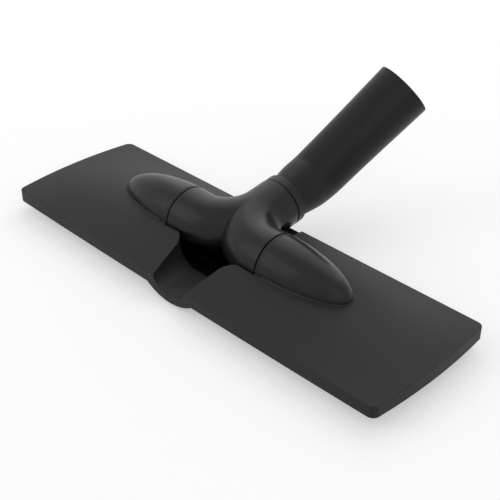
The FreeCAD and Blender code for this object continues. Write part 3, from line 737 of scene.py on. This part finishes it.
    def _surface(self, outer: BVHTree, point: Vector) -> Vector:
        """Drop a point on the cover's top.

        Args:
            outer: The cover's surface.
            point: The point.

        Returns:
            The place straight above or below it on the cover.
        """
        hit = outer.ray_cast(Vector((point.x, point.y, self.above)), DOWN)[0]
        return hit if hit is not None else point


@dataclass
class BristleStrip:
    """A strip of bristle tufts that stand in their holder."""

    name: str
    node: str
    path: Sequence[tuple[float, float]]
    seed: int
    root: float = 0.0069
    pitch: float = 0.0017
    width: float = 0.0032
    row_share: float = 0.2
    kinds: int = 4
    hairs: int = 24
    hair_radius: float = 0.00016
    hair_sides: int = 4
    taper: float = 0.7
    tuft_radius: float = 0.00095
    lean: float = 0.0003
    gather: float = 0.5
    uneven: float = 0.0003
    crease: float = 60.0

    def build(self, shop: Workshop) -> bpy.types.Object:
        """Make the strip's tufts.

        Args:
            shop: The workshop that dresses them.

        Returns:
            The new piece.
        """
        chance = random.Random(self.seed)
        tufts = [self._tuft(chance) for _ in range(self.kinds)]
        bm = bmesh.new()
        for x, y in self._places():
            tuft = tufts[chance.randrange(len(tufts))]
            add_copy(bm, tuft, x, y, chance.uniform(0.0, math.tau))
        for tuft in tufts:
            bpy.data.meshes.remove(tuft)
        soften(bm, self.crease)
        made = shop.piece(self.name, bm, "head", ("bristle",))
        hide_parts(self.node)
        return made

    def _places(self) -> list[tuple[float, float]]:
        """Space the tufts along the path, in two offset rows.

        Returns:
            The tufts' places.
        """
        places: list[tuple[float, float]] = []
        row = 1.0
        for (x0, y0), (x1, y1) in zip(self.path, self.path[1:]):
            long = math.hypot(x1 - x0, y1 - y0)
            ux, uy = (x1 - x0) / long, (y1 - y0) / long
            count = int(long / self.pitch)
            for step in range(count + 1):
                along = step * long / count
                aside = row * self.width * self.row_share
                places.append((x0 + ux * along - uy * aside, y0 + uy * along + ux * aside))
                row = -row
        return places

    def _tuft(self, chance: random.Random) -> bpy.types.Mesh:
        """Make one tuft of slightly spread hairs that end on the floor.

        Args:
            chance: The seeded source of the hairs' places.

        Returns:
            The tuft's mesh.
        """
        bm = bmesh.new()
        for _ in range(self.hairs):
            turn = chance.uniform(0.0, math.tau)
            out = self.tuft_radius * math.sqrt(chance.random())
            low = chance.uniform(0.0, self.uneven)
            ray = Vector((math.cos(turn), math.sin(turn), 0.0))
            foot = ray * (out + self.lean * out / self.tuft_radius)
            head = ray * out * self.gather
            foot.z, head.z = low, self.root
            line = head - foot
            place = (Matrix.Translation((foot + head) / 2)
                     @ line.to_track_quat("Z", "Y").to_matrix().to_4x4())
            bmesh.ops.create_cone(bm, cap_ends=True, segments=self.hair_sides,
                                  radius1=self.hair_radius * self.taper,
                                  radius2=self.hair_radius, depth=line.length, matrix=place)
        lowest = min(corner.co.z for corner in bm.verts)
        if lowest < 0.0:
            bmesh.ops.translate(bm, vec=(0.0, 0.0, -lowest), verts=bm.verts)
        return as_mesh(self.name + "_tuft", bm)


@dataclass
class SoleWheel:
    """A small wheel under the sole, with a grooved tread and dished sides.

    The tread's rows give a place beside the middle and whether it is at the full radius. They and
    the sizes from rim_land on are in millimetres.
    """

    side: str
    radius: float = 0.0065
    half_width: float = 0.0035
    bore: float = 0.00131
    groove: float = 0.00035
    steps: int = 72
    crease: float = 30.0
    tread: tuple[tuple[float, bool], ...] = (
        (0.25, False), (0.4, True), (1.3, True), (1.45, False), (1.75, False), (1.9, True))
    rim_land: float = 0.9
    rim_round: float = 0.25
    rim_depth: float = 1.7
    dish: float = 0.8
    dish_rim: float = 2.0
    hub_wall: float = 1.0
    hub_foot: float = 1.3

    def build(self, shop: Workshop) -> bpy.types.Object:
        """Make the wheel on its axle.

        Args:
            shop: The workshop that dresses it.

        Returns:
            The new piece.
        """
        low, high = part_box("wheel_" + self.side)
        bm = spun(self._profile(), ALONG, UP, self.steps)
        bmesh.ops.translate(bm, vec=(low + high) / 2, verts=bm.verts)
        soften(bm, self.crease)
        made = shop.piece("sole_wheel_" + self.side, bm, f"wheel_{self.side}_body", ("tread",))
        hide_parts("wheel_" + self.side)
        return made

    def _profile(self) -> list[tuple[float, float]]:
        """Draw half a wheel's section and mirror it.

        Returns:
            Places along the axle with their radii.
        """
        half, top, low = self.half_width, self.radius, self.radius - self.groove
        inner = half - self.dish * MM
        ring = [(x * MM, top if full else low) for x, full in self.tread]
        ring += [(half - self.rim_land * MM, top),
                 (half - self.rim_round * MM, top - self.rim_round * MM),
                 (half, top - self.rim_land * MM), (half, top - self.rim_depth * MM),
                 (inner, top - self.dish_rim * MM), (inner, self.bore + self.hub_foot * MM),
                 (half, self.bore + self.hub_wall * MM), (half, self.bore)]
        return ring + [(-x, r) for x, r in reversed(ring)]


@dataclass
class SoleScrews:
    """The eight screws that hold the soles, with domed heads and cross recesses.

    The dome's rows give a height over the head's lowest place and a share of the head's radius.
    """

    head_radius: float = 0.0028
    shank_radius: float = 0.0013
    head_low: float = 0.0074
    head_high: float = 0.0090
    tip: float = 0.0148
    point: float = 0.0012
    dome: tuple[tuple[float, float], ...] = ((0.0, 0.55), (0.0003, 0.85), (0.0008, 1.0))
    recess: tuple[float, float, float] = (0.0030, 0.00075, 0.0022)
    steps: int = 32
    crease: float = 30.0
    turn_step: float = 0.7
    inner_limit: float = 0.075

    def build(self, shop: Workshop) -> bpy.types.Object:
        """Make the screws where their node has them.

        Args:
            shop: The workshop that dresses them.

        Returns:
            The new piece.
        """
        one = self._screw()
        bm = bmesh.new()
        for x, y, turn in self._places():
            add_copy(bm, one, x, y, turn)
        bpy.data.meshes.remove(one)
        soften(bm, self.crease)
        made = shop.piece("cross_head_screws", bm, "head", ("steel",))
        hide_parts("sole_screws")
        return made

    def _places(self) -> list[tuple[float, float, float]]:
        """Read the screws' places from the node.

        Returns:
            Each screw's place, and how far its recess is turned.
        """
        low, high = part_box("sole_screws")
        near, far = self._inner_place(), high.x - self.head_radius
        front, rear = low.y + self.head_radius, high.y - self.head_radius
        places = [(x * side, y) for side in (-1.0, 1.0) for x in (near, far)
                  for y in (front, rear)]
        return [(x, y, self.turn_step * index) for index, (x, y) in enumerate(places)]

    def _inner_place(self) -> float:
        """Measure how far the inner screws stand from the middle.

        Returns:
            Their distance.
        """
        corners = frame["nodes"]["sole_screws"].data.vertices
        inner = [corner.co.x for corner in corners if 0.0 < corner.co.x < self.inner_limit]
        return (min(inner) + max(inner)) / 2

    def _screw(self) -> bpy.types.Mesh:
        """Turn one screw and cut the cross into its head.

        Returns:
            The screw's mesh.
        """
        low, high, head, shank = self.head_low, self.head_high, self.head_radius, self.shank_radius
        profile = [(low, 0.0)] + [(low + rise, head * share) for rise, share in self.dome]
        profile += [(high, head), (high, shank), (self.tip - self.point, shank), (self.tip, 0.0)]
        screw = linked("screw", as_mesh("screw", spun(profile, UP, ALONG, self.steps)))
        cutters = [self._cutter(screw, turn) for turn in (0.0, math.pi / 2)]
        graph = bpy.context.evaluated_depsgraph_get()
        cut = bpy.data.meshes.new_from_object(screw.evaluated_get(graph))
        for spare in [screw] + cutters:
            bpy.data.objects.remove(spare)
        return cut

    def _cutter(self, screw: bpy.types.Object, turn: float) -> bpy.types.Object:
        """Make one bar of the cross and cut it from the screw.

        Args:
            screw: The screw.
            turn: The bar's turn about the screw's axis.

        Returns:
            The bar.
        """
        bm = bmesh.new()
        bmesh.ops.create_cube(bm, size=1.0)
        bmesh.ops.scale(bm, vec=self.recess, verts=bm.verts)
        bmesh.ops.rotate(bm, matrix=Matrix.Rotation(turn, 3, "Z"), verts=bm.verts)
        bmesh.ops.translate(bm, vec=(0.0, 0.0, self.head_low), verts=bm.verts)
        bar = linked("bar", as_mesh("bar", bm))
        cut = screw.modifiers.new("cut", "BOOLEAN")
        cut.operation = "DIFFERENCE"
        cut.solver = "EXACT"
        cut.object = bar
        return bar


@dataclass
class Brush:
    """The whole brush: its mouldings, strips, wheels and screws."""

    strip_end: float = 0.1385
    strip_rear: float = 0.0356
    strip_front: float = -0.0376
    end_front: float = -0.0308
    front_near: float = 0.0240
    front_far: float = 0.1327
    rear_seed: int = 11
    front_seed: int = 12

    def build(self, shop: Workshop) -> None:
        """Build every piece in order and dress the nodes that stay.

        Args:
            shop: The workshop that dresses them.
        """
        for row in frame["record"]["subparts"]:
            shop.dress(row["node"], row["material_slot"])
        Cover().build(shop)
        # The lower yoke shell takes the near-black sole finish: partly its own black plastic,
        # partly painted shade under the yoke's part line.
        for node, body, slot in (("yoke_upper", "yoke", "yoke"), ("yoke_lower", "yoke", "sole"),
                                 ("swivel_ring", "elbow", "yoke")):
            Moulding(node, body, slot).build(shop)
        Elbow().build(shop)
        for strip in self._strips():
            strip.build(shop)
        for side in ("left", "right"):
            SoleWheel(side).build(shop)
        SoleScrews().build(shop)

    def _strips(self) -> list[BristleStrip]:
        """Lay out the two front strips and the one round the rear.

        Returns:
            The three strips.
        """
        end, rear = self.strip_end, self.strip_rear
        round_rear = ((-end, self.end_front), (-end, rear), (end, rear), (end, self.end_front))
        strips = [BristleStrip("rear_tufts", "rear_bristles", round_rear, self.rear_seed)]
        for name, side in (("left", -1.0), ("right", 1.0)):
            line = ((self.front_near * side, self.strip_front),
                    (self.front_far * side, self.strip_front))
            strips.append(BristleStrip(f"front_{name}_tufts", f"front_{name}_bristles", line,
                                       self.front_seed))
        return strips


def main() -> None:
    """Build the studio and every piece."""
    logging.basicConfig(level=logging.INFO)
    Studio().build()
    Brush().build(Workshop())


if __name__ == "__main__":
    main()
